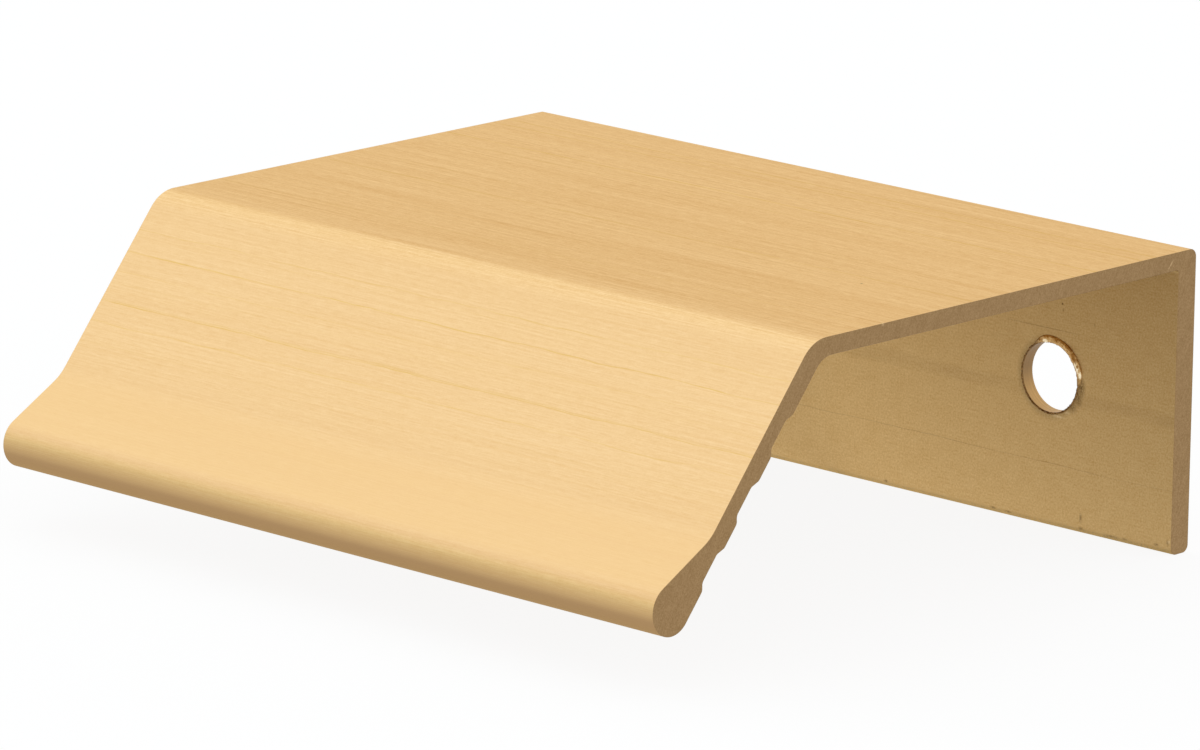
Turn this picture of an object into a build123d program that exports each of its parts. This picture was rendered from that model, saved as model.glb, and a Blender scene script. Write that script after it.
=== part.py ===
from build123d import *
from math import cos, radians, sin, tan
import os

# Edge pull: a short length of extruded aluminium that hooks over the edge of a drawer front or door.
# One section is drawn, extruded and cut off, and two countersunk screw holes are drilled.
# X runs along the length, the lip points towards -Y and +Z is up. The origin lies midway between
# the two holes, on the face of the flange that is screwed against the panel. Sizes are millimetres.

# Overall sizes
length = 50.5
flange_height = 17.6  # top of the plate to the lower edge of the flange
plate_depth = 32.0  # back of the flange to the sharp corner where plate and lip would meet

# Flange, behind the panel
flange_wall = 1.5
flange_edge_r = 0.45  # both corners of its lower edge

# Plate, over the panel's edge
plate_wall = 1.05
back_corner_r = 0.5
inside_corner_r = 0.2

# Lip, sloping down and forwards from the plate
lip_angle = 50.7  # below the horizontal
lip_wall = 1.0  # at the bottom of the finger grooves
front_bend_r = 2.3
inside_bend_r = 1.6

# Finger grooves under the lip, between ribs that stand proud of the lip wall
rib_height = 0.3
groove_count = 3
groove_pitch = 4.15
groove_width = 2.65  # mouth, from rib to rib
groove_lead = 0.55  # run of the gentle flank on the plate's side
groove_catch = 0.35  # run of the steep flank that the fingertip pulls on
groove_round_r = 0.4
first_groove = 3.9  # from the sharp front corner, down the lip

# Flare and bead: the outer face turns out and ends in a full round
flare_from = 0.15  # past the start of the last groove
flare_angle = 21.4  # away from the line of the lip
flare_round_r = 3.0
bead_r = 1.47

# Screw holes, countersunk from the back of the flange
hole_spacing = 32.0
hole_drop = 8.85  # top of the plate to the centres
hole_d = 4.1
countersink_depth = 0.65
countersink_angle = 90.0
cutter_overrun = 1.0  # how far the drill passes the faces it opens

# Places that follow from the sizes
top_z = hole_drop
bottom_z = top_z - flange_height
plate_under_z = top_z - plate_wall
back_y = flange_wall
front_y = back_y - plate_depth
rib_wall = lip_wall + rib_height
flare_start = first_groove + (groove_count - 1) * groove_pitch + flare_from


def on_lip(along, under):
    """Section point at a distance along the lip from its sharp corner, and under its outer face."""
    slope = radians(lip_angle)
    y = front_y - along * cos(slope) + under * sin(slope)
    z = top_z - along * sin(slope) - under * cos(slope)
    return y, z


def groove_corners(start):
    """The four corners of one finger groove, walked from its mouth nearest the plate."""
    end = start + groove_width
    return [
        on_lip(start, rib_wall),
        on_lip(start + groove_lead, lip_wall),
        on_lip(end - groove_catch, lip_wall),
        on_lip(end, rib_wall),
    ]


def bead_along():
    """How far down the lip the bead's centre lies, so that the bead touches rib line and flare."""
    flare = radians(flare_angle)
    under = rib_wall - bead_r
    return flare_start + (bead_r - under * cos(flare)) / sin(flare)


def inside_front_corner():
    """Sharp corner where the underside of the plate meets the rib line."""
    slope = radians(lip_angle)
    along = (plate_wall - rib_wall * cos(slope)) / sin(slope)
    return on_lip(along, rib_wall)


def section():
    """The extrusion's section, walked from the bead up under the lip and back down over it."""
    flare = radians(flare_angle)
    bead_centre = bead_along(), rib_wall - bead_r
    bead_under = on_lip(bead_centre[0], rib_wall)
    bead_over = on_lip(bead_centre[0] - bead_r * sin(flare), bead_centre[1] - bead_r * cos(flare))
    bead_tip = on_lip(bead_centre[0] + bead_r, bead_centre[1])

    corners = []
    for groove in reversed(range(groove_count)):
        for corner in reversed(groove_corners(first_groove + groove * groove_pitch)):
            corners.append((corner, groove_round_r))
    corners += [
        (inside_front_corner(), inside_bend_r),
        ((0, plate_under_z), inside_corner_r),
        ((0, bottom_z), flange_edge_r),
        ((back_y, bottom_z), flange_edge_r),
        ((back_y, top_z), back_corner_r),
        ((front_y, top_z), front_bend_r),
        (on_lip(flare_start, 0), flare_round_r),
    ]
    with BuildSketch(Plane.YZ) as outline:
        with BuildLine():
            FilletPolyline(
                bead_under, *[point for point, _ in corners], bead_over,
                radius=[radius for _, radius in corners],
            )
            ThreePointArc(bead_over, bead_tip, bead_under)
        make_face()
    return outline.sketch


def screw_hole():
    """What the drill and the countersink take out of the flange, along Y, centred on the origin."""
    hole_r = hole_d / 2
    sink_r = hole_r + countersink_depth * tan(radians(countersink_angle / 2))
    drill = Cylinder(hole_r, flange_wall + 2 * cutter_overrun)
    sink = Pos(0, 0, (flange_wall - countersink_depth) / 2) * Cone(hole_r, sink_r, countersink_depth)
    return Pos(0, flange_wall / 2, 0) * Rot(-90, 0, 0) * (drill + sink)


def edge_pull():
    """The cut length of extrusion with its two screw holes."""
    bar = Pos(-length / 2, 0, 0) * extrude(section(), amount=length)
    for x in (-hole_spacing / 2, hole_spacing / 2):
        bar -= Pos(x, 0, 0) * screw_hole()
    return bar


os.makedirs("parts", exist_ok=True)
export_step(edge_pull(), "parts/pull.step")
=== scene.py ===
import math

import bpy
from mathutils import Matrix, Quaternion, Vector


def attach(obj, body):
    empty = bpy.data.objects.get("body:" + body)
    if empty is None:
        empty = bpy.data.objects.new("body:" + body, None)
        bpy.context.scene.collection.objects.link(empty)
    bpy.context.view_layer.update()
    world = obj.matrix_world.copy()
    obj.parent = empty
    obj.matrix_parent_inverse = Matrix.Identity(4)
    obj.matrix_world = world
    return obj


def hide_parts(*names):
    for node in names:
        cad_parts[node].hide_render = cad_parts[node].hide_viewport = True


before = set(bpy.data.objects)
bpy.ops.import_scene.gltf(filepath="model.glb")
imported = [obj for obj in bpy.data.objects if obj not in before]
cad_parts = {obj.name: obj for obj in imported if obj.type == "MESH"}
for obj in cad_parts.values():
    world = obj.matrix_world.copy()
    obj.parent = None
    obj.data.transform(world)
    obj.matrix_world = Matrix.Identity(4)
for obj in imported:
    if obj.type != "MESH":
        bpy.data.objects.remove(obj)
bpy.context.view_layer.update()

# The section of the extrusion
# Aluminium is pushed through a die, so one outline runs the whole length of the pull: a screw flange,
# a plate that covers the panel's edge, and a sloping lip with finger grooves and a rounded bead.
# Sizes are those of the real section. The outline is walked anticlockwise, seen from +X.
mm = 0.001
length = 50.5 * mm
flange_height = 17.6 * mm
plate_depth = 32.0 * mm
flange_wall = 1.5 * mm
flange_edge_r = 0.45 * mm
plate_wall = 1.05 * mm
back_corner_r = 0.5 * mm
inside_corner_r = 0.2 * mm
lip_slope = math.radians(50.7)
lip_wall = 1.0 * mm
front_bend_r = 2.3 * mm
inside_bend_r = 1.6 * mm
rib_height = 0.3 * mm
groove_count = 3
groove_pitch = 4.15 * mm
groove_width = 2.65 * mm
groove_lead = 0.55 * mm
groove_catch = 0.35 * mm
groove_round_r = 0.4 * mm
first_groove = 3.9 * mm
flare_start = first_groove + (groove_count - 1) * groove_pitch + 0.15 * mm
flare_turn = math.radians(21.4)
flare_round_r = 3.0 * mm
bead_r = 1.47 * mm
hole_drop = 8.85 * mm

top_z = hole_drop
bottom_z = top_z - flange_height
plate_under_z = top_z - plate_wall
back_y = flange_wall
front_y = back_y - plate_depth
rib_wall = lip_wall + rib_height

arc_step = math.radians(4)
edge_support = 0.03 * mm  # an extra point this far outside each arc keeps the flat beside it flat
belt_ends, bare_starts = -0.66, 0.54  # of the heading up the lip, from -1 to 1 round the bead


def on_lip(along, under):
    """Section point at a distance down the lip from its sharp front corner, and under its outer face."""
    return Vector((
        front_y - along * math.cos(lip_slope) + under * math.sin(lip_slope),
        top_z - along * math.sin(lip_slope) - under * math.cos(lip_slope),
    ))


def groove_corners(start):
    """The four corners of one finger groove, walked from its mouth nearest the plate."""
    end = start + groove_width
    return [
        on_lip(start, rib_wall),
        on_lip(start + groove_lead, lip_wall),
        on_lip(end - groove_catch, lip_wall),
        on_lip(end, rib_wall),
    ]


def arc(centre, start, turn):
    """Points from start along an arc about centre, by an angle in radians, anticlockwise if positive."""
    steps = max(2, math.ceil(abs(turn) / arc_step))
    spoke = start - centre
    points = []
    for step in range(steps + 1):
        angle = turn * step / steps
        turned = Vector((
            spoke.x * math.cos(angle) - spoke.y * math.sin(angle),
            spoke.x * math.sin(angle) + spoke.y * math.cos(angle),
        ))
        points.append(centre + turned)
    return points


def rounded(before, corner, after, radius):
    """The arc that rounds a corner, with a support point on the straight at each end of it."""
    came = (corner - before).normalized()
    goes = (after - corner).normalized()
    turn = math.atan2(came.x * goes.y - came.y * goes.x, came.dot(goes))
    tangent = radius * math.tan(abs(turn) / 2)
    start = corner - came * tangent
    side = math.copysign(1, turn)
    centre = start + Vector((-came.y, came.x)) * radius * side
    bend = arc(centre, start, turn)
    return [start - came * edge_support, *bend, bend[-1] + goes * edge_support]


def section_outline():
    """The closed outline of the section, from the bead up under the lip and back down over it."""
    under = rib_wall - bead_r
    along = flare_start + (bead_r - under * math.cos(flare_turn)) / math.sin(flare_turn)
    bead_centre = on_lip(along, under)
    bead_under = on_lip(along, rib_wall)
    bead_over = on_lip(along - bead_r * math.sin(flare_turn), under - bead_r * math.cos(flare_turn))
    inside_bend = (plate_wall - rib_wall * math.cos(lip_slope)) / math.sin(lip_slope)

    corners = []
    for groove in reversed(range(groove_count)):
        for corner in reversed(groove_corners(first_groove + groove * groove_pitch)):
            corners.append((corner, groove_round_r))
    corners += [
        (on_lip(inside_bend, rib_wall), inside_bend_r),
        (Vector((0, plate_under_z)), inside_corner_r),
        (Vector((0, bottom_z)), flange_edge_r),
        (Vector((back_y, bottom_z)), flange_edge_r),
        (Vector((back_y, top_z)), back_corner_r),
        (Vector((front_y, top_z)), front_bend_r),
        (on_lip(flare_start, 0), flare_round_r),
    ]
    stops = [bead_under, *[corner for corner, _ in corners], bead_over]
    outline = []
    for place, (corner, radius) in enumerate(corners, start=1):
        outline += rounded(stops[place - 1], corner, stops[place + 1], radius)
    return outline + arc(bead_centre, bead_over, math.pi + flare_turn)


def unbrushed(tangent, point):
    """1 on the faces that look towards the panel and the finger, 0 on the outer faces."""
    if point.x > front_y:
        return float(point.x < back_y / 2 and point.y < plate_under_z + plate_wall / 2)
    up_lip = (on_lip(0, 0) - on_lip(1, 0)).normalized()
    return min(max((tangent.dot(up_lip) - belt_ends) / (bare_starts - belt_ends), 0), 1)


outline = section_outline()


def run_at(point):
    """How far round the outline, from its first point, the spot nearest to a section point lies."""
    nearest, run, found = math.inf, 0.0, 0.0
    for here, after in zip(outline, outline[1:] + outline[:1]):
        side = after - here
        share = min(max((point - here).dot(side) / side.length_squared, 0), 1)
        gap = (here + side * share - point).length
        if gap < nearest:
            nearest, found = gap, run + side.length * share
        run += side.length
    return found


def section_face():
    """The section as one flat face at X = 0, with the outward direction and the run round it stored."""
    count = len(outline)
    mesh = bpy.data.meshes.new("section")
    mesh.from_pydata([(0, p.x, p.y) for p in outline], [], [range(count)])
    outwards, run, inside = [], [0.0], []
    for i, here in enumerate(outline):
        before, after = outline[i - 1], outline[(i + 1) % count]
        tangent = ((here - before).normalized() + (after - here).normalized()).normalized()
        outwards += (0, tangent.y, -tangent.x)
        run.append(run[-1] + (after - here).length)
        inside.append(unbrushed(tangent, here))
    mesh.attributes.new("outwards", "FLOAT_VECTOR", "POINT").data.foreach_set("vector", outwards)
    mesh.attributes.new("run", "FLOAT", "POINT").data.foreach_set("value", run[:count])
    mesh.attributes.new("unbrushed", "FLOAT", "POINT").data.foreach_set("value", inside)
    return mesh, run[-1]


# The bar
# The extrusion is sawn off square. Its two cut edges are lightly broken on a wheel, and two screw
# holes are drilled through the flange and countersunk from the back.
edge_break = 0.05 * mm
sawn_above = 0.4  # faces at the ends that look this much along X are sawn
hole_spacing = 32.0 * mm
hole_d = 4.1 * mm
countersink_depth = 0.65 * mm
rim_break = 0.05 * mm
hole_sides = 96
break_steps = 4  # facets round a broken edge
bar_cuts = 24  # lengths between the two broken edges
smooth_below = math.radians(30)
weld = 0.0005 * mm  # points closer than this are one
cutter_reach = 0.5 * mm  # how far the cutter stands out of the flange on each side


def put(tree, kind, sockets=None, **settings):
    """Adds a node, sets its settings, and fills its sockets with values or with other nodes' outputs."""
    made = tree.nodes.new(kind)
    for name, value in settings.items():
        setattr(made, name, value)
    for key, value in (sockets or {}).items():
        if isinstance(value, bpy.types.NodeSocket):
            tree.links.new(value, made.inputs[key])
        else:
            made.inputs[key].default_value = value
    return made


def maths(tree, operation, *values, clamp=False):
    """A Math node's result."""
    kind = "ShaderNodeMath"
    made = put(tree, kind, dict(enumerate(values)), operation=operation, use_clamp=clamp)
    return made.outputs[0]


def vectors(tree, operation, a, b=(0, 0, 0), scale=None):
    """A Vector Math node's result."""
    sockets = {0: a, 1: b}
    if scale is not None:
        sockets = {0: a, "Scale": scale}
    return put(tree, "ShaderNodeVectorMath", sockets, operation=operation).outputs[0]


def joined_xyz(tree, x=0.0, y=0.0, z=0.0):
    """Three numbers made into a vector."""
    return put(tree, "ShaderNodeCombineXYZ", {"X": x, "Y": y, "Z": z}).outputs[0]


def split_xyz(tree, vector):
    """A vector's three numbers, by name."""
    return put(tree, "ShaderNodeSeparateXYZ", {0: vector}).outputs


def finished(tree, geometry, material, chosen=True):
    """Geometry with a material on the chosen faces."""
    return put(tree, "GeometryNodeSetMaterial",
               {"Geometry": geometry, "Selection": chosen, "Material": material}).outputs[0]


def made_by(name, mesh, tree, inputs):
    """A plain mesh object made from a mesh by a geometry nodes tree, with the named inputs."""
    maker = bpy.data.objects.new(name, mesh)
    bpy.context.scene.collection.objects.link(maker)
    steps = maker.modifiers.new(name, "NODES")
    steps.node_group = tree
    for socket, value in inputs.items():
        steps[tree.interface.items_tree[socket].identifier] = value
    graph = bpy.context.evaluated_depsgraph_get()
    plain = bpy.data.meshes.new_from_object(maker.evaluated_get(graph))
    plain.name = name
    bpy.data.objects.remove(maker)
    if plain.materials[0] is None:
        plain.materials.pop(index=0)
    made = bpy.data.objects.new(name, plain)
    bpy.context.scene.collection.objects.link(made)
    return made


def store(tree, geometry, name, kind, domain, value):
    """Geometry with a value stored on it under a name."""
    return put(tree, "GeometryNodeStoreNamedAttribute",
               {"Geometry": geometry, "Name": name, "Value": value},
               data_type=kind, domain=domain).outputs[0]


def stored(tree, name, kind):
    """A value stored earlier."""
    return put(tree, "GeometryNodeInputNamedAttribute", {"Name": name}, data_type=kind).outputs[0]


def sample(tree, geometry, value, kind, index):
    """The value at one numbered point of the geometry."""
    return put(tree, "GeometryNodeSampleIndex",
               {"Geometry": geometry, "Value": value, "Index": index}, data_type=kind).outputs[0]


def long_faces(tree, given, place):
    """A sheet wrapped round the section: a column for each of its points, a row for each station."""
    section = given["Section"]
    rows_at_end = break_steps + 3
    stations = 2 * rows_at_end + bar_cuts - 1
    count = put(tree, "GeometryNodeAttributeDomainSize", {"Geometry": section}).outputs["Point Count"]
    columns = maths(tree, "ADD", count, 1)
    sheet = put(tree, "GeometryNodeMeshGrid",
                {"Vertices X": columns, "Vertices Y": stations}).outputs[0]
    index = put(tree, "GeometryNodeInputIndex").outputs[0]
    column = maths(tree, "FLOOR", maths(tree, "DIVIDE", maths(tree, "ADD", index, 0.5), stations))
    row = maths(tree, "SUBTRACT", index, maths(tree, "MULTIPLY", column, stations))
    closing = maths(tree, "COMPARE", column, count, 0.5)
    outline_index = maths(tree, "MODULO", column, count)

    # How far each row lies in from the outline and from the bar's end, round the broken edge
    middle = (stations - 1) / 2
    off_middle = maths(tree, "SUBTRACT", row, middle)
    side = maths(tree, "SIGN", off_middle)
    from_end = maths(tree, "SUBTRACT", middle, maths(tree, "ABSOLUTE", off_middle))
    from_end = maths(tree, "MINIMUM", from_end, rows_at_end - 1)
    turned = maths(tree, "DIVIDE", maths(tree, "SUBTRACT", from_end, 1), break_steps, clamp=True)
    turned = maths(tree, "MULTIPLY", turned, math.pi / 2)
    half = maths(tree, "MULTIPLY", given["Length"], 0.5)
    on_cap = maths(tree, "LESS_THAN", from_end, 0.5)
    on_side = maths(tree, "GREATER_THAN", from_end, rows_at_end - 1.5)
    inset = maths(tree, "MULTIPLY", given["Edge Break"],
                  maths(tree, "SUBTRACT", 1, maths(tree, "SINE", turned)))
    inset = maths(tree, "ADD", inset, maths(tree, "MULTIPLY", on_cap, edge_support))
    back = maths(tree, "MULTIPLY", given["Edge Break"],
                 maths(tree, "SUBTRACT", 1, maths(tree, "COSINE", turned)))
    back = maths(tree, "ADD", back, maths(tree, "MULTIPLY", on_side, edge_support))
    end_x = maths(tree, "MULTIPLY", side, maths(tree, "SUBTRACT", half, back))
    share = maths(tree, "DIVIDE", maths(tree, "SUBTRACT", row, rows_at_end - 1), bar_cuts, clamp=True)
    straight = maths(tree, "SUBTRACT", half, maths(tree, "ADD", given["Edge Break"], edge_support))
    straight_x = maths(tree, "MULTIPLY", straight,
                       maths(tree, "SUBTRACT", maths(tree, "MULTIPLY", share, 2), 1))
    x = put(tree, "GeometryNodeSwitch", {"Switch": on_side, "False": end_x, "True": straight_x},
            input_type="FLOAT").outputs[0]
    outline_place = sample(tree, section, place, "FLOAT_VECTOR", outline_index)
    outwards = stored(tree, "outwards", "FLOAT_VECTOR")
    outwards = sample(tree, section, outwards, "FLOAT_VECTOR", outline_index)
    moved = vectors(tree, "SUBTRACT", outline_place, vectors(tree, "SCALE", outwards, scale=inset))
    moved = vectors(tree, "ADD", moved, joined_xyz(tree, x))

    # The unrolled surface as a map, with its first direction along the brushing
    run = sample(tree, section, stored(tree, "run", "FLOAT"), "FLOAT", outline_index)
    run = maths(tree, "ADD", run, maths(tree, "MULTIPLY", closing, given["Outline Length"]))
    bare = sample(tree, section, stored(tree, "unbrushed", "FLOAT"), "FLOAT", outline_index)
    unrolled = joined_xyz(tree, maths(tree, "ADD", x, half), run, bare)
    sheet = store(tree, sheet, "unrolled", "FLOAT_VECTOR", "POINT", unrolled)
    unrolled = stored(tree, "unrolled", "FLOAT_VECTOR")
    sheet = store(tree, sheet, "brushing", "FLOAT2", "CORNER", unrolled)
    sheet = store(tree, sheet, "bare", "FLOAT", "CORNER", split_xyz(tree, unrolled)["Z"])
    sheet = put(tree, "GeometryNodeSetPosition", {"Geometry": sheet, "Position": moved}).outputs[0]
    return finished(tree, sheet, given["Brushed"])


def end_faces(tree, given):
    """The two sawn faces, with their outline drawn in by the broken edge."""
    inset = maths(tree, "ADD", given["Edge Break"], edge_support)
    shrunk = vectors(tree, "SCALE", stored(tree, "outwards", "FLOAT_VECTOR"),
                     scale=maths(tree, "MULTIPLY", inset, -1))

    def end_face(x):
        offset = vectors(tree, "ADD", shrunk, joined_xyz(tree, x))
        return put(tree, "GeometryNodeSetPosition",
                   {"Geometry": given["Section"], "Offset": offset}).outputs[0]

    half = maths(tree, "MULTIPLY", given["Length"], 0.5)
    left = end_face(maths(tree, "MULTIPLY", half, -1))
    return end_face(half), put(tree, "GeometryNodeFlipFaces", {"Mesh": left}).outputs[0]


def hole_cutters(tree, given, place):
    """For each hole one turned shape: burr tool at the front, drill, and countersink from the back."""
    hole_r = maths(tree, "MULTIPLY", given["Hole Diameter"], 0.5)
    sink = given["Countersink Depth"]
    rim = given["Rim Break"]
    turned_places = [maths(tree, "MULTIPLY", cutter_reach, -1), rim,
                     maths(tree, "SUBTRACT", given["Flange Wall"], sink),
                     maths(tree, "ADD", given["Flange Wall"], cutter_reach)]
    turned_radii = [maths(tree, "ADD", hole_r, maths(tree, "ADD", rim, cutter_reach)), hole_r, hole_r,
                    maths(tree, "ADD", hole_r, maths(tree, "ADD", sink, cutter_reach))]
    rings = len(turned_places)
    blank = put(tree, "GeometryNodeMeshCylinder",
                {"Vertices": hole_sides, "Side Segments": rings - 1,
                 "Radius": 1.0, "Depth": 2.0}).outputs[0]
    at = split_xyz(tree, place)
    ring = maths(tree, "MULTIPLY", maths(tree, "ADD", at["Z"], 1), (rings - 1) / 2)
    ring = maths(tree, "ROUND", ring)

    def on_ring(values):
        chosen = put(tree, "GeometryNodeIndexSwitch", data_type="FLOAT")
        for _ in range(len(values) - 2):
            chosen.index_switch_items.new()
        tree.links.new(ring, chosen.inputs["Index"])
        for number, value in enumerate(values):
            tree.links.new(value, chosen.inputs[str(number)])
        return chosen.outputs[0]

    turned_r = on_ring(turned_radii)
    turned_z = maths(tree, "MULTIPLY", maths(tree, "MULTIPLY", at["Y"], turned_r), -1)
    turned_x = maths(tree, "MULTIPLY", at["X"], turned_r)
    turned = joined_xyz(tree, turned_x, on_ring(turned_places), turned_z)
    cutter = put(tree, "GeometryNodeSetPosition", {"Geometry": blank, "Position": turned}).outputs[0]
    first_hole = joined_xyz(tree, maths(tree, "MULTIPLY", given["Hole Spacing"], -0.5))
    holes = put(tree, "GeometryNodeMeshLine",
                {"Count": 2, "Start Location": first_hole,
                 "Offset": joined_xyz(tree, given["Hole Spacing"])}).outputs[0]
    cutters = put(tree, "GeometryNodeInstanceOnPoints",
                  {"Points": holes, "Instance": cutter}).outputs[0]
    cutters = put(tree, "GeometryNodeRealizeInstances", {"Geometry": cutters}).outputs[0]
    return finished(tree, cutters, given["Drilled"])


def extrusion_tree():
    """Geometry nodes that turn the section's face into the cut, drilled bar."""
    tree = bpy.data.node_groups.new("extruded bar", "GeometryNodeTree")
    add_socket = tree.interface.new_socket
    add_socket("Section", in_out="INPUT", socket_type="NodeSocketGeometry")
    for name in ("Length", "Outline Length", "Edge Break", "Hole Spacing", "Hole Diameter",
                 "Countersink Depth", "Rim Break", "Flange Wall"):
        add_socket(name, in_out="INPUT", socket_type="NodeSocketFloat")
    for name in ("Brushed", "Sawn", "Drilled"):
        add_socket(name, in_out="INPUT", socket_type="NodeSocketMaterial")
    add_socket("Bar", in_out="OUTPUT", socket_type="NodeSocketGeometry")
    given = put(tree, "NodeGroupInput").outputs
    place = put(tree, "GeometryNodeInputPosition").outputs[0]

    # Long faces and ends joined, holes cut, and smooth shading but for the sharp edges
    joined = put(tree, "GeometryNodeJoinGeometry")
    sheet = long_faces(tree, given, place)
    for part in (*end_faces(tree, given), sheet):
        tree.links.new(part, joined.inputs[0])
    bar = put(tree, "GeometryNodeMergeByDistance",
              {"Geometry": joined.outputs[0], "Distance": weld}).outputs[0]
    bar = put(tree, "GeometryNodeMeshBoolean",
              {"Mesh 1": bar, "Mesh 2": hole_cutters(tree, given, place)},
              operation="DIFFERENCE", solver="EXACT").outputs["Mesh"]
    bend = put(tree, "GeometryNodeInputMeshEdgeAngle").outputs["Unsigned Angle"]
    bar = put(tree, "GeometryNodeSetShadeSmooth",
              {"Geometry": bar, "Selection": maths(tree, "GREATER_THAN", bend, smooth_below),
               "Shade Smooth": False}, domain="EDGE").outputs[0]
    bar = put(tree, "GeometryNodeRealizeInstances", {"Geometry": bar}).outputs[0]

    # The faces at the two ends that look along the bar are sawn
    half = maths(tree, "MULTIPLY", given["Length"], 0.5)
    ends_from = maths(tree, "SUBTRACT", half, maths(tree, "ADD", given["Edge Break"], edge_support))
    from_middle = maths(tree, "ABSOLUTE", split_xyz(tree, place)["X"])
    at_end = maths(tree, "GREATER_THAN", from_middle, ends_from)
    normal = split_xyz(tree, put(tree, "GeometryNodeInputNormal").outputs[0])
    along_bar = maths(tree, "GREATER_THAN", maths(tree, "ABSOLUTE", normal["X"]), sawn_above)
    bar = finished(tree, bar, given["Sawn"], maths(tree, "MULTIPLY", at_end, along_bar))
    put(tree, "NodeGroupOutput", {"Bar": bar})
    return tree


# The finish of the faces
# The outer faces are brushed along the length with a fine belt, then anodised gold. The inner faces
# are left as they came from the die, so they are matt and finely mottled, with faint die lines.
brushed_dark, brushed_light = (214, 164, 103), (249, 215, 167)
bare_dark, bare_light = (196, 156, 92), (234, 203, 148)
line_on_brushed, line_on_bare = (208, 162, 30), (112, 78, 32)
# tones of the dark and light marks, which also paint a shadow and a highlight by the right hole
speck_and_shadow_tone, scratch_and_highlight_tone = (92, 66, 34), (252, 232, 190)
# painted shade on the bead's underside
painted_underside_shade = (186, 152, 110)
painted_front_tint = (1.05, 1.14, 1.04, 1)  # painted reflection tint, times the face's own colour, on the bead's front
glancing_tint = (1.0, 0.9, 0.62, 1)  # of what the gold mirrors at a low angle
bead_from_y, bead_full_y = -38.5 * mm, -40 * mm
line_waver = 0.45 * mm  # how far a die line strays sideways
broad_share = 0.15  # of the mottle
bump_depth = 0.01 * mm

# Each line from the die: where it lies, its width, and its strength. Lines on the lip are placed by
# the distance down from its sharp corner, those on the plate by Y and those on the flange by Z.
lip_lines = [
    (2.6, 0.08, 0.55), (2.95, 0.06, 0.22), (4.07, 0.07, 1.0), (5.4, 0.07, 0.32), (6.15, 0.14, 0.13),
    (7.2, 0.10, 0.42), (7.3, 0.06, 1.0), (8.62, 0.08, 0.57), (10.0, 0.18, 0.11),
]
plate_lines = [
    (-2.0, 0.16, 1.0), (-3.2, 0.16, 1.0), (-4.9, 0.12, 0.4), (-7.2, 0.18, 1.0), (-9.0, 0.14, 0.5),
    (-14.6, 0.16, 0.25), (-17.5, 0.2, 0.7), (-25.9, 0.2, 0.3),
]
flange_lines = [(-5.04, 0.06, 0.6), (-0.95, 0.9, 0.3)]
die_lines = [(on_lip(at * mm, 0), width * mm, depth) for at, width, depth in lip_lines]
die_lines += [(Vector((at * mm, top_z)), width * mm, depth) for at, width, depth in plate_lines]
die_lines += [(Vector((0, at * mm)), width * mm, depth) for at, width, depth in flange_lines]

# Specks and scratches, and by the right hole a painted shadow and a painted highlight: middle and half
# sizes in millimetres, turn about X in degrees, and strength
dark_marks = [
    ((18.16, -18.71, 8.85), (0.10, 0.12, 0.1), 0, 0.6),
    ((16.80, 0, 4.42), (0.09, 0.1, 0.10), 0, 0.7),
    ((16.87, 0, 4.08), (0.07, 0.1, 0.12), 0, 0.4),
    ((19.2, 0, 3.6), (0.06, 0.1, 0.15), 0, 0.25),
    ((15.4, 0, 2.85), (3.6, 0.1, 0.05), 0, 0.22),
    ((18.54, 0, -7.8), (0.13, 0.1, 0.4), 0, 0.35),
    ((18.56, 0, -8.43), (0.25, 0.1, 0.16), 0, 0.35),
    # painted shadow of the burr, below and right of the right hole
    ((18.38, 0, -0.25), (0.32, 0.1, 0.7), 0, 0.42),
    ((18.18, 0, -0.9), (0.34, 0.1, 0.65), 0, 0.36),
    ((17.72, 0, -1.48), (0.5, 0.1, 0.42), 0, 0.3),
    ((3.73, 0, -8.40), (0.22, 0.1, 0.14), 0, 0.4),
    ((11.96, 0, -8.42), (0.3, 0.1, 0.12), 0, 0.35),
    ((13.1, 0, -8.47), (0.35, 0.1, 0.12), 0, 0.4),
    ((20.85, 0, -8.45), (0.7, 0.1, 0.13), 0, 0.3),
    ((21.83, 0, -8.43), (0.25, 0.1, 0.12), 0, 0.3),
    ((24.16, 0, -8.28), (0.24, 0.1, 0.12), 0, 0.4),
    ((24.98, 0, -8.05), (0.13, 0.1, 0.26), 0, 0.3),
    ((-3.28, -40.35, -3.19), (0.09, 0.1, 0.1), 0, 0.3),
    ((15.87, -39.26, -1.85), (0.09, 0.1, 0.1), 0, 0.25),
]
light_marks = [
    ((25.25, -0.76, 8.19), (0.1, 0.5, 0.07), 46.6, 0.55),
    ((25.22, -24.9, 8.82), (0.16, 0.13, 0.16), 0, 0.5),
    ((25.08, 0, -7.95), (0.12, 0.1, 0.12), 0, 0.3),
    # painted highlight on the rim below the right hole
    ((16.7, 0, -2.19), (0.55, 0.1, 0.1), 0, 0.25),
    ((17.35, 0, -1.86), (0.25, 0.1, 0.12), 0, 0.18),
    ((-15.8, -22.35, 8.85), (0.12, 0.12, 0.1), 0, 0.4),
]


def colour(red, green, blue):
    """A colour in sRGB levels of 0 to 255, as the linear colour that a shader takes."""
    def linear(value):
        value = value / 255
        return value / 12.92 if value <= 0.04045 else ((value + 0.055) / 1.055) ** 2.4
    return linear(red), linear(green), linear(blue), 1.0


def spread(tree, value, low, high, to_low=0.0, to_high=1.0, kind="LINEAR"):
    """A value mapped from one range to another, and held inside it."""
    return put(tree, "ShaderNodeMapRange",
               {"Value": value, "From Min": low, "From Max": high,
                "To Min": to_low, "To Max": to_high}, interpolation_type=kind).outputs[0]


def blend_colour(tree, share, a, b):
    """Two colours mixed."""
    made = put(tree, "ShaderNodeMix", {"Factor": share}, data_type="RGBA")
    sockets = [s for s in made.inputs if s.type == "RGBA"]
    for socket, value in zip(sockets, (a, b)):
        if isinstance(value, bpy.types.NodeSocket):
            tree.links.new(value, socket)
        else:
            socket.default_value = value
    return [s for s in made.outputs if s.type == "RGBA"][0]


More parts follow.
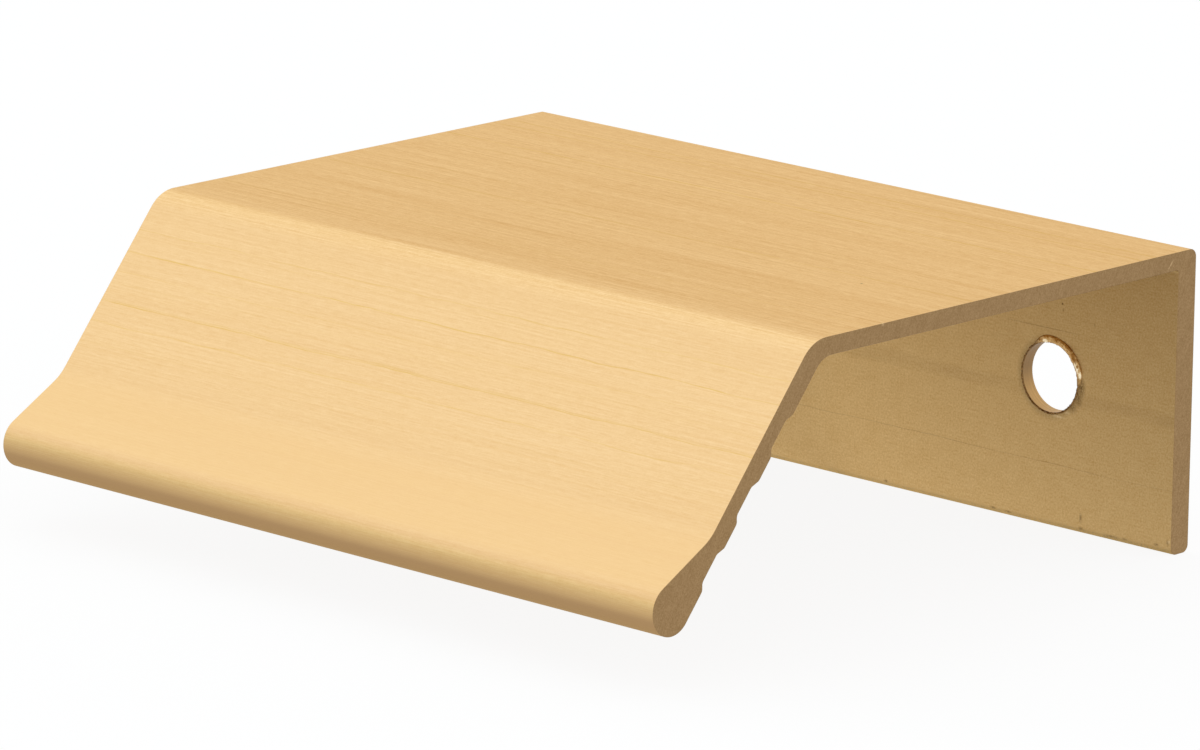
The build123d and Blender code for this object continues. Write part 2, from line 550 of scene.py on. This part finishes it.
def shade_colour(tree, tint, value):
    """A colour multiplied by a number."""
    if not isinstance(tint, bpy.types.NodeSocket):
        tint = tint[:3]
    return vectors(tree, "SCALE", tint, scale=value)


def shader_group(name, takes, gives):
    """An empty shader node group with named sockets, with its input node's outputs."""
    group = bpy.data.node_groups.new(name, "ShaderNodeTree")
    for socket, kind in takes:
        group.interface.new_socket(socket, in_out="INPUT", socket_type="NodeSocket" + kind)
    group.interface.new_socket(gives, in_out="OUTPUT", socket_type="NodeSocketFloat")
    return group, put(group, "NodeGroupInput").outputs


def use(tree, group, **sockets):
    """A group placed in a material, with its own values; underscores stand for spaces."""
    made = tree.nodes.new("ShaderNodeGroup")
    made.node_tree = group
    for name, value in sockets.items():
        socket = made.inputs[name.replace("_", " ")]
        if isinstance(value, bpy.types.NodeSocket):
            tree.links.new(value, socket)
        else:
            socket.default_value = value
    return made.outputs[0]


def noise(tree, place, scale, detail, roughness=0.5, gives="Fac"):
    """A Noise Texture's result."""
    sockets = {"Vector": place, "Scale": scale, "Detail": detail, "Roughness": roughness}
    return put(tree, "ShaderNodeTexNoise", sockets).outputs[gives]


def grain_group():
    """Lines that run along X, such as a belt, a saw or a drill leaves. The middle value is 0.5."""
    group, given = shader_group("grain", [("Place", "Vector"), ("Length", "Float"), ("Width", "Float"),
                                          ("Detail", "Float")], "Grain")
    across = maths(group, "DIVIDE", 1, given["Width"])
    scale = joined_xyz(group, maths(group, "DIVIDE", 1, given["Length"]), across, across)
    place = vectors(group, "MULTIPLY", given["Place"], scale)
    put(group, "NodeGroupOutput", {"Grain": noise(group, place, 1.0, given["Detail"], 0.55)})
    return group


def mottle_group():
    """The fine uneven look of an etched and anodised face. The middle value is 0.5."""
    group, given = shader_group("mottle", [("Place", "Vector"), ("Size", "Float")], "Mottle")
    place = vectors(group, "SCALE", given["Place"], scale=maths(group, "DIVIDE", 1, given["Size"]))
    fine = maths(group, "MULTIPLY", noise(group, place, 1.0, 2.0, 0.6), 1 - broad_share)
    broad = maths(group, "MULTIPLY", noise(group, place, 0.12, 2.0, 0.5), broad_share)
    put(group, "NodeGroupOutput", {"Mottle": maths(group, "ADD", fine, broad)})
    return group


def mark_group():
    """A small patch for a speck, a scratch, a painted highlight and a painted shadow alike: 1 in its
    middle and 0 outside its half sizes.
    """
    group, given = shader_group("mark", [("Place", "Vector"), ("Middle", "Vector"), ("Turn", "Vector"),
                                         ("Half Size", "Vector")], "Mark")
    off = put(group, "ShaderNodeMapping",
              {"Vector": given["Place"], "Location": given["Middle"], "Rotation": given["Turn"],
               "Scale": given["Half Size"]}, vector_type="TEXTURE").outputs[0]
    away = put(group, "ShaderNodeVectorMath", {0: off}, operation="LENGTH").outputs["Value"]
    put(group, "NodeGroupOutput", {"Mark": maths(group, "SUBTRACT", 1, away, clamp=True)})
    return group


grain, mottle, mark = grain_group(), mottle_group(), mark_group()


def marks_on(tree, place, marks):
    """The deepest of the listed marks at each place, with ragged edges."""
    deepest = 0.0
    for middle, half_size, turn, depth in marks:
        one = use(tree, mark, Place=place, Middle=Vector(middle) * mm, Half_Size=Vector(half_size) * mm,
                  Turn=(math.radians(turn), 0, 0))
        deepest = maths(tree, "MAXIMUM", maths(tree, "MULTIPLY", one, 2 * depth), deepest)
    ragged = noise(tree, place, 1 / (0.1 * mm), 1.0)
    return maths(tree, "MULTIPLY", deepest, spread(tree, ragged, 0.35, 0.55, 0.3, 1), clamp=True)


def add_up(tree, start, *parts):
    """A starting value with each noise added, taken about its middle and times its share."""
    for level, share in parts:
        off = maths(tree, "SUBTRACT", level, 0.5)
        start = maths(tree, "ADD", start, maths(tree, "MULTIPLY", off, share))
    return start


def scored_lines(tree, unrolled):
    """The long thin lines of the die along X, a little wavy and of uneven depth."""
    wave = use(tree, grain, Place=unrolled, Length=5 * mm, Width=1.5 * mm, Detail=3.0)
    pressure = use(tree, grain, Place=unrolled, Length=4 * mm, Width=0.7 * mm, Detail=3.0)
    bent = add_up(tree, split_xyz(tree, unrolled)["Y"], (wave, line_waver))
    deepest = 0.0
    for point, width, depth in die_lines:
        off = maths(tree, "ABSOLUTE", maths(tree, "SUBTRACT", bent, run_at(point)))
        line = spread(tree, off, 0.1 * width, 0.7 * width, depth, 0, "SMOOTHSTEP")
        deepest = maths(tree, "MAXIMUM", line, deepest)
    return maths(tree, "MULTIPLY", deepest, spread(tree, pressure, 0.32, 0.62, 0.3, 1))


def surface(name):
    """An empty material with its tree and its Principled shader."""
    material = bpy.data.materials.new(name)
    material.use_nodes = True
    return material, material.node_tree, material.node_tree.nodes["Principled BSDF"]


def object_place(tree):
    """The place on the object in metres, as a vector and as its three numbers."""
    place = put(tree, "ShaderNodeTexCoord").outputs["Object"]
    return place, split_xyz(tree, place)


def bump(tree, shader, strength, height):
    """Fine relief from a height, on a material's Normal."""
    made = put(tree, "ShaderNodeBump", {"Strength": strength, "Distance": bump_depth, "Height": height})
    tree.links.new(made.outputs[0], shader.inputs["Normal"])


def belt_pressure(tree, run, on_bead):
    """How firm the belt was: most on the plate, less on the back and the lip, and faint on the flare."""
    corner_run = run_at(Vector((back_y, top_z)))
    bend_run = run_at(on_lip(0, 0))
    flare_run = run_at(on_lip(flare_start, 0))
    firm = spread(tree, run, corner_run - mm, corner_run, 0.5, 1)
    firm = maths(tree, "MULTIPLY", firm, spread(tree, run, bend_run - mm, bend_run + mm, 2.0, 0.88))
    firm = maths(tree, "MULTIPLY", firm, spread(tree, run, flare_run - 1.5 * mm, flare_run + mm, 1, 0.48))
    return maths(tree, "MULTIPLY_ADD", on_bead, 0.5, firm)


def stains(tree, parts, spots):
    """The inner faces are duller round the holes and along the flange's lower edge, with a painted shade
    that darkens them towards the ends and the top.
    """
    from_middle = maths(tree, "ABSOLUTE", parts["X"])
    off_x = maths(tree, "SUBTRACT", from_middle, hole_spacing / 2)
    off_hole = joined_xyz(tree, off_x, parts["Y"], parts["Z"])
    off_hole = put(tree, "ShaderNodeVectorMath", {0: off_hole}, operation="LENGTH").outputs["Value"]
    dulling = spread(tree, off_hole, hole_d / 2 + 0.1 * mm, hole_d / 2 + 0.55 * mm, 0.18, 0, "SMOOTHSTEP")
    # painted shade, darker towards the ends and the top
    far = maths(tree, "MULTIPLY_ADD", parts["Z"], 1.2, from_middle)
    dulling = maths(tree, "ADD", dulling, spread(tree, far, -5 * mm, 35 * mm, 0, 0.33))
    low_edge = spread(tree, parts["Z"], bottom_z + 0.45 * mm, bottom_z + 0.25 * mm)
    return maths(tree, "MULTIPLY_ADD", low_edge, spread(tree, spots, 0.38, 0.62, 0.04, 0.34), dulling)


def gold_faces():
    """Brushed and anodised outside, matt and mottled inside."""
    material, tree, shader = surface("gold_faces")
    place, parts = object_place(tree)
    unrolled = put(tree, "ShaderNodeUVMap", uv_map="brushing").outputs[0]
    bare = put(tree, "ShaderNodeAttribute", attribute_name="bare").outputs["Fac"]
    upward = split_xyz(tree, put(tree, "ShaderNodeNewGeometry").outputs["Normal"])["Z"]
    past_flare = spread(tree, parts["Y"], bead_from_y, bead_full_y)
    on_bead = maths(tree, "MULTIPLY", past_flare, spread(tree, upward, 0.85, 0.5))

    # Belt lines: long hairs, short grain, and broad faint streaks and bands
    hair = use(tree, grain, Place=unrolled, Length=14 * mm, Width=0.10 * mm, Detail=2.0)
    short = use(tree, grain, Place=unrolled, Length=0.9 * mm, Width=0.07 * mm, Detail=1.0)
    streak = use(tree, grain, Place=unrolled, Length=60 * mm, Width=0.4 * mm, Detail=2.0)
    band = use(tree, grain, Place=unrolled, Length=160 * mm, Width=2.6 * mm, Detail=1.0)
    spots = use(tree, mottle, Place=place, Size=0.12 * mm)
    belt = add_up(tree, 0.0, (hair, 0.43), (short, 0.43), (streak, 0.27), (band, 0.16), (spots, 0.35))
    firm = belt_pressure(tree, split_xyz(tree, unrolled)["Y"], on_bead)
    belt = maths(tree, "MULTIPLY_ADD", belt, firm, 0.5)
    brushed_face = blend_colour(tree, belt, colour(*brushed_dark), colour(*brushed_light))

    # Bare faces: mottled, with short faint lines from the die
    drawn = use(tree, grain, Place=unrolled, Length=1.5 * mm, Width=0.09 * mm, Detail=1.0)
    etched = add_up(tree, 0.5, (spots, 1.5), (drawn, 0.32))
    bare_face = blend_colour(tree, etched, colour(*bare_dark), colour(*bare_light))
    # painted shade on the inner faces, and duller round the holes and along the flange's lower edge
    bare_face = shade_colour(tree, bare_face, maths(tree, "SUBTRACT", 1, stains(tree, parts, spots)))
    face = blend_colour(tree, bare, brushed_face, bare_face)

    # Painted light on the bead: a painted reflection tint makes its front yellower and lighter, and a
    # painted shade darkens its underside
    front = maths(tree, "MULTIPLY", past_flare, spread(tree, upward, 0.6, 0.3))
    face = vectors(tree, "MULTIPLY", face, blend_colour(tree, front, (1, 1, 1, 1), painted_front_tint))
    # painted shade: the bead's underside darker where it faces down
    underside = maths(tree, "MULTIPLY", past_flare, spread(tree, upward, 0.42, -0.32))
    face = blend_colour(tree, underside, face, colour(*painted_underside_shade))

    # What all have: lines from the die, dark specks and light scratches; by the right hole these marks
    # also paint a shadow and a highlight
    scored = scored_lines(tree, unrolled)
    dark = marks_on(tree, place, dark_marks)
    light = marks_on(tree, place, light_marks)
    line_tone = blend_colour(tree, bare, colour(*line_on_brushed), colour(*line_on_bare))
    face = blend_colour(tree, maths(tree, "MULTIPLY", scored, 0.45), face, line_tone)
    face = blend_colour(tree, dark, face, colour(*speck_and_shadow_tone))
    face = blend_colour(tree, light, face, colour(*scratch_and_highlight_tone))
    tree.links.new(face, shader.inputs["Base Color"])

    # The belt leaves the reflection longer across its lines than along them
    rough = put(tree, "ShaderNodeMix",
                {"Factor": bare, "A": spread(tree, streak, 0.3, 0.7, 0.38, 0.44), "B": 0.52}).outputs[0]
    tree.links.new(maths(tree, "MULTIPLY_ADD", on_bead, 0.1, rough), shader.inputs["Roughness"])
    shader.inputs["Metallic"].default_value = 1.0
    shader.inputs["Specular Tint"].default_value = glancing_tint
    shader.inputs["Anisotropic"].default_value = 0.5
    tangent = put(tree, "ShaderNodeTangent", direction_type="UV_MAP", uv_map="brushing").outputs[0]
    tree.links.new(tangent, shader.inputs["Tangent"])
    fine = put(tree, "ShaderNodeMix", {"Factor": bare, "A": short, "B": spots}).outputs[0]
    sunk = maths(tree, "MULTIPLY", maths(tree, "ADD", scored, dark), 0.5)
    bump(tree, shader, 0.4, maths(tree, "SUBTRACT", fine, sunk))
    return material


# The sawn ends
# The bar is cut to length with a fine saw before it is anodised. The cut is matt, and takes a duller,
# browner gold than the brushed faces.
sawn_dark, sawn_light = (147, 116, 74), (187, 156, 114)
sawn_scratch = (214, 184, 140)
saw_turn = math.radians(62)  # the saw's lines, above the horizontal


def sawn_ends():
    """Matt and finely grained, with the faint lines of the saw."""
    material, tree, shader = surface("gold_sawn_ends")
    place, parts = object_place(tree)
    turned = joined_xyz(tree, parts["Y"], parts["Z"])
    turned = put(tree, "ShaderNodeMapping", {"Vector": turned, "Rotation": (0, 0, -saw_turn)}).outputs[0]
    lines = use(tree, grain, Place=turned, Length=5 * mm, Width=0.12 * mm, Detail=2.0)
    spots = use(tree, mottle, Place=place, Size=0.09 * mm)
    level = add_up(tree, 0.5, (lines, 0.45), (spots, 1.5))
    face = blend_colour(tree, level, colour(*sawn_dark), colour(*sawn_light))
    face = blend_colour(tree, marks_on(tree, place, light_marks), face, colour(*sawn_scratch))
    tree.links.new(face, shader.inputs["Base Color"])
    shader.inputs["Metallic"].default_value = 1.0
    shader.inputs["Roughness"].default_value = 0.6
    bump(tree, shader, 0.5, maths(tree, "ADD", lines, spots))
    return material


# The drilled walls
# The holes are drilled before anodising, so their walls are smoother and brighter than the faces,
# with fine rings round them.
wall_shaded, wall_bright = (160, 129, 90), (210, 170, 112)


def drilled_walls():
    """Bright, with the drill's rings, and darker where the upper part of a hole faces the floor."""
    material, tree, shader = surface("gold_drilled_walls")
    place, parts = object_place(tree)
    around = joined_xyz(tree, parts["Z"], parts["Y"])
    rings = use(tree, grain, Place=around, Length=6 * mm, Width=0.08 * mm, Detail=2.0)
    low = spread(tree, parts["Z"], 0.3 * mm, -1.5 * mm, kind="SMOOTHSTEP")
    wall = blend_colour(tree, low, colour(*wall_shaded), colour(*wall_bright))
    wall = shade_colour(tree, wall, spread(tree, rings, 0.3, 0.7, 0.85, 1.1))
    tree.links.new(wall, shader.inputs["Base Color"])
    shader.inputs["Metallic"].default_value = 1.0
    shader.inputs["Roughness"].default_value = 0.5
    bump(tree, shader, 0.6, rings)
    return material


# The pull
# The real thing is this one piece of aluminium: extruded, sawn, drilled, brushed and anodised. It
# stands in for the CAD node. Only the burrs that the drill left are added to it below.
section, outline_length = section_face()
faces_finish = gold_faces()
section.materials.append(faces_finish)
pull = made_by("edge_pull", section, extrusion_tree(), {
    "Length": length,
    "Outline Length": outline_length,
    "Edge Break": edge_break,
    "Hole Spacing": hole_spacing,
    "Hole Diameter": hole_d,
    "Countersink Depth": countersink_depth,
    "Rim Break": rim_break,
    "Flange Wall": flange_wall,
    "Brushed": faces_finish,
    "Sawn": sawn_ends(),
    "Drilled": drilled_walls(),
})
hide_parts("pull")
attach(pull, "root")

# The burrs at the holes
# The drill has pushed up a thin ragged ring of metal round each hole, on the face inside the pull.
# It was never dressed off, so it is anodised with the rest and shows dark and bright flecks.
burr_r = 0.058 * mm  # half its width
burr_swell = 3.7  # how much wider it is where the drill broke through last, at the upper right
swell_at = math.radians(58)  # round the hole, from +X towards +Z
burr_rough = 0.12 * mm
burr_steps = 240
burr_sides = 16
burr_dark, swollen_dark = (104, 78, 46), (190, 150, 90)
burr_light, swollen_light = (150, 116, 72), (216, 178, 122)
glint_tone = (255, 240, 205)
# Painted highlights where the burrs catch the light: middle and half sizes in millimetres, turn about X
# in degrees, and strength
burr_glints = [
    ((17.98, -0.05, 1.06), (0.13, 0.3, 0.28), 0, 1.0),
    ((18.12, -0.05, 0.80), (0.13, 0.3, 0.30), 0, 1.0),
    ((18.26, -0.05, 0.53), (0.13, 0.3, 0.28), 0, 1.0),
    ((15.65, -0.05, 2.08), (0.24, 0.3, 0.16), 0, 0.8),
    ((17.1, -0.05, -2.1), (0.50, 0.3, 0.15), 0, 0.3),
]


def burr_tree():
    """Geometry nodes for one ragged ring round each hole, sunk by half into the flange."""
    tree = bpy.data.node_groups.new("hole burrs", "GeometryNodeTree")
    add_socket = tree.interface.new_socket
    for name in ("Hole Spacing", "Hole Diameter", "Burr Radius", "Swell", "Roughness"):
        add_socket(name, in_out="INPUT", socket_type="NodeSocketFloat")
    add_socket("Finish", in_out="INPUT", socket_type="NodeSocketMaterial")
    add_socket("Burrs", in_out="OUTPUT", socket_type="NodeSocketGeometry")
    given = put(tree, "NodeGroupInput").outputs
    place = put(tree, "GeometryNodeInputPosition").outputs[0]

    # A ring that swells towards one side, always with its inner edge at the hole
    hole_r = maths(tree, "MULTIPLY", given["Hole Diameter"], 0.5)
    ring = put(tree, "GeometryNodeCurvePrimitiveCircle",
               {"Resolution": burr_steps, "Radius": 1.0}).outputs[0]
    towards = put(tree, "ShaderNodeVectorMath",
                  {0: place, 1: (math.cos(swell_at), math.sin(swell_at), 0)}, operation="DOT_PRODUCT")
    swell = spread(tree, towards.outputs["Value"], 0.35, 0.78, kind="SMOOTHSTEP")
    ring = store(tree, ring, "swell", "FLOAT", "POINT", swell)
    swell = stored(tree, "swell", "FLOAT")
    swell = maths(tree, "MULTIPLY_ADD", swell, maths(tree, "SUBTRACT", given["Swell"], 1), 1)
    width = maths(tree, "MULTIPLY", given["Burr Radius"], swell)
    around = maths(tree, "ADD", hole_r, maths(tree, "MULTIPLY", width, 0.85))
    ring = put(tree, "GeometryNodeSetPosition",
               {"Geometry": ring, "Position": vectors(tree, "SCALE", place, scale=around)}).outputs[0]
    rim = put(tree, "GeometryNodeCurvePrimitiveCircle",
              {"Resolution": burr_sides, "Radius": 1.0}).outputs[0]
    ring = put(tree, "GeometryNodeCurveToMesh",
               {"Curve": ring, "Profile Curve": rim, "Scale": width}).outputs[0]
    ring = put(tree, "GeometryNodeTransform",
               {"Geometry": ring, "Rotation": (math.pi / 2, 0, 0)}).outputs[0]
    half = maths(tree, "MULTIPLY", given["Hole Spacing"], 0.5)
    rings = put(tree, "GeometryNodeJoinGeometry")
    for side in (-1, 1):
        centre = joined_xyz(tree, maths(tree, "MULTIPLY", half, side))
        moved = put(tree, "GeometryNodeTransform", {"Geometry": ring, "Translation": centre}).outputs[0]
        tree.links.new(moved, rings.inputs[0])

    # Torn and bent by two sizes of noise
    parts = split_xyz(tree, place)
    coarse = noise(tree, place, 1 / (0.9 * mm), 1.0)
    fine = noise(tree, place, 1 / (0.13 * mm), 2.0, gives="Color")
    torn = vectors(tree, "SUBTRACT", fine, (0.5, 0.5, 0.5))
    torn = vectors(tree, "SCALE", torn, scale=given["Roughness"])
    rise = spread(tree, coarse, 0.35, 0.65, 0.35, 0.9)
    lifted = joined_xyz(tree, parts["X"], maths(tree, "MULTIPLY", parts["Y"], rise), parts["Z"])
    burrs = put(tree, "GeometryNodeSetPosition",
                {"Geometry": rings.outputs[0], "Position": lifted, "Offset": torn}).outputs[0]
    burrs = put(tree, "GeometryNodeRealizeInstances", {"Geometry": burrs}).outputs[0]
    put(tree, "NodeGroupOutput", {"Burrs": finished(tree, burrs, given["Finish"])})
    return tree


def burr_gold():
    """Torn metal: flecked dark where the dye has gathered, with painted highlights for its glints."""
    material, tree, shader = surface("gold_burrs")
    place, _ = object_place(tree)
    flecks = use(tree, mottle, Place=place, Size=0.13 * mm)
    towards = put(tree, "ShaderNodeAttribute", attribute_name="swell").outputs["Fac"]
    dark = blend_colour(tree, towards, colour(*burr_dark), colour(*swollen_dark))
    light = blend_colour(tree, towards, colour(*burr_light), colour(*swollen_light))
    tone = blend_colour(tree, spread(tree, flecks, 0.42, 0.58), dark, light)
    # painted highlights at the glints
    bright = marks_on(tree, place, burr_glints)
    tone = blend_colour(tree, bright, tone, colour(*glint_tone))
    tree.links.new(tone, shader.inputs["Base Color"])
    tree.links.new(spread(tree, bright, 0, 1, 0.4, 0.2), shader.inputs["Roughness"])
    shader.inputs["Metallic"].default_value = 1.0
    return material


burrs = made_by("hole_burrs", bpy.data.meshes.new("burr seed"), burr_tree(), {
    "Hole Spacing": hole_spacing,
    "Hole Diameter": hole_d,
    "Burr Radius": burr_r,
    "Swell": burr_swell,
    "Roughness": burr_rough,
    "Finish": burr_gold(),
})
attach(burrs, "root")

# The floor
# A plain white card, level with the lower edge of the flange. To the eye and in the metal it looks
# nearly plain white, and it keeps a faint shadow.
floor_size = 3.0
white_share = 0.9  # how much of it is plain white to the eye and in the metal
edge = floor_size / 2
corners = [(x * edge, y * edge, bottom_z) for x, y in ((-1, -1), (1, -1), (1, 1), (-1, 1))]
floor_mesh = bpy.data.meshes.new("floor")
floor_mesh.from_pydata(corners, [], [(0, 1, 2, 3)])
floor = bpy.data.objects.new("floor", floor_mesh)
bpy.context.scene.collection.objects.link(floor)
card, tree, shader = surface("white_card")
shader.inputs["Base Color"].default_value = (0.95, 0.95, 0.95, 1)
shader.inputs["Roughness"].default_value = 0.9
shader.inputs["Specular IOR Level"].default_value = 0.0
rays = put(tree, "ShaderNodeLightPath").outputs
seen = maths(tree, "ADD", rays["Is Camera Ray"], rays["Is Glossy Ray"])
seen = maths(tree, "ADD", seen, rays["Is Transmission Ray"], clamp=True)
white = put(tree, "ShaderNodeEmission", {"Color": (1, 1, 1, 1), "Strength": 1.0}).outputs[0]
share = maths(tree, "MULTIPLY", seen, white_share)
both = put(tree, "ShaderNodeMixShader", {0: share, 1: shader.outputs[0], 2: white}).outputs[0]
tree.links.new(both, tree.nodes["Material Output"].inputs["Surface"])
floor_mesh.materials.append(card)

# The lights
# The room is pale and even, so the metal mirrors nothing but white. One large soft lamp, a little
# cooler than the room, lies over the left of the lip and brightens the faces that slope towards it.
room_level = 0.935  # 1 is plain white
pull_middle = Vector((0, -20 * mm, 0))
room = bpy.data.worlds.new("room")
bpy.context.scene.world = room
room.use_nodes = True
sky = room.node_tree.nodes["Background"]
sky.inputs["Color"].default_value = (1, 1, 1, 1)
sky.inputs["Strength"].default_value = room_level


def soft_lamp(name, towards, distance, size, radiance, tint):
    """A square lamp in that direction from the pull, facing it, as bright as a surface of that level."""
    lamp = bpy.data.lights.new(name, "AREA")
    lamp.shape = "SQUARE"
    lamp.size = size
    lamp.energy = radiance * math.pi * size * size
    lamp.color = tint
    holder = bpy.data.objects.new(name, lamp)
    direction = Vector(towards).normalized()
    holder.location = pull_middle + direction * distance
    holder.rotation_euler = direction.to_track_quat("Z", "Y").to_euler()
    holder.visible_camera = False
    bpy.context.scene.collection.objects.link(holder)


soft_lamp("window", towards=(-0.667, -0.1, 0.74), distance=1.0, size=1.5, radiance=0.46,
          tint=(0.60, 0.87, 0.99))

# The camera
# It looks down on the right end and the lip from the front, through a long lens, so that edges that
# are parallel on the pull stay nearly parallel in the picture.
camera_place = Vector((328.2025, -367.9659, 118.0032)) * mm
camera_aim = Vector((0.02, -20.33, 0.73)) * mm
camera_roll = math.radians(0.722)
lens = bpy.data.cameras.new("camera")
lens.lens = 261.85
lens.sensor_width = 36
lens.clip_start = 0.01
lens.clip_end = 10
camera = bpy.data.objects.new("camera", lens)
camera.location = camera_place
camera.rotation_mode = "QUATERNION"
looking = (camera_aim - camera_place).to_track_quat("-Z", "Y")
camera.rotation_quaternion = looking @ Quaternion((0, 0, 1), camera_roll)
bpy.context.scene.collection.objects.link(camera)
bpy.context.scene.camera = camera
bpy.context.scene.view_settings.view_transform = "Standard"
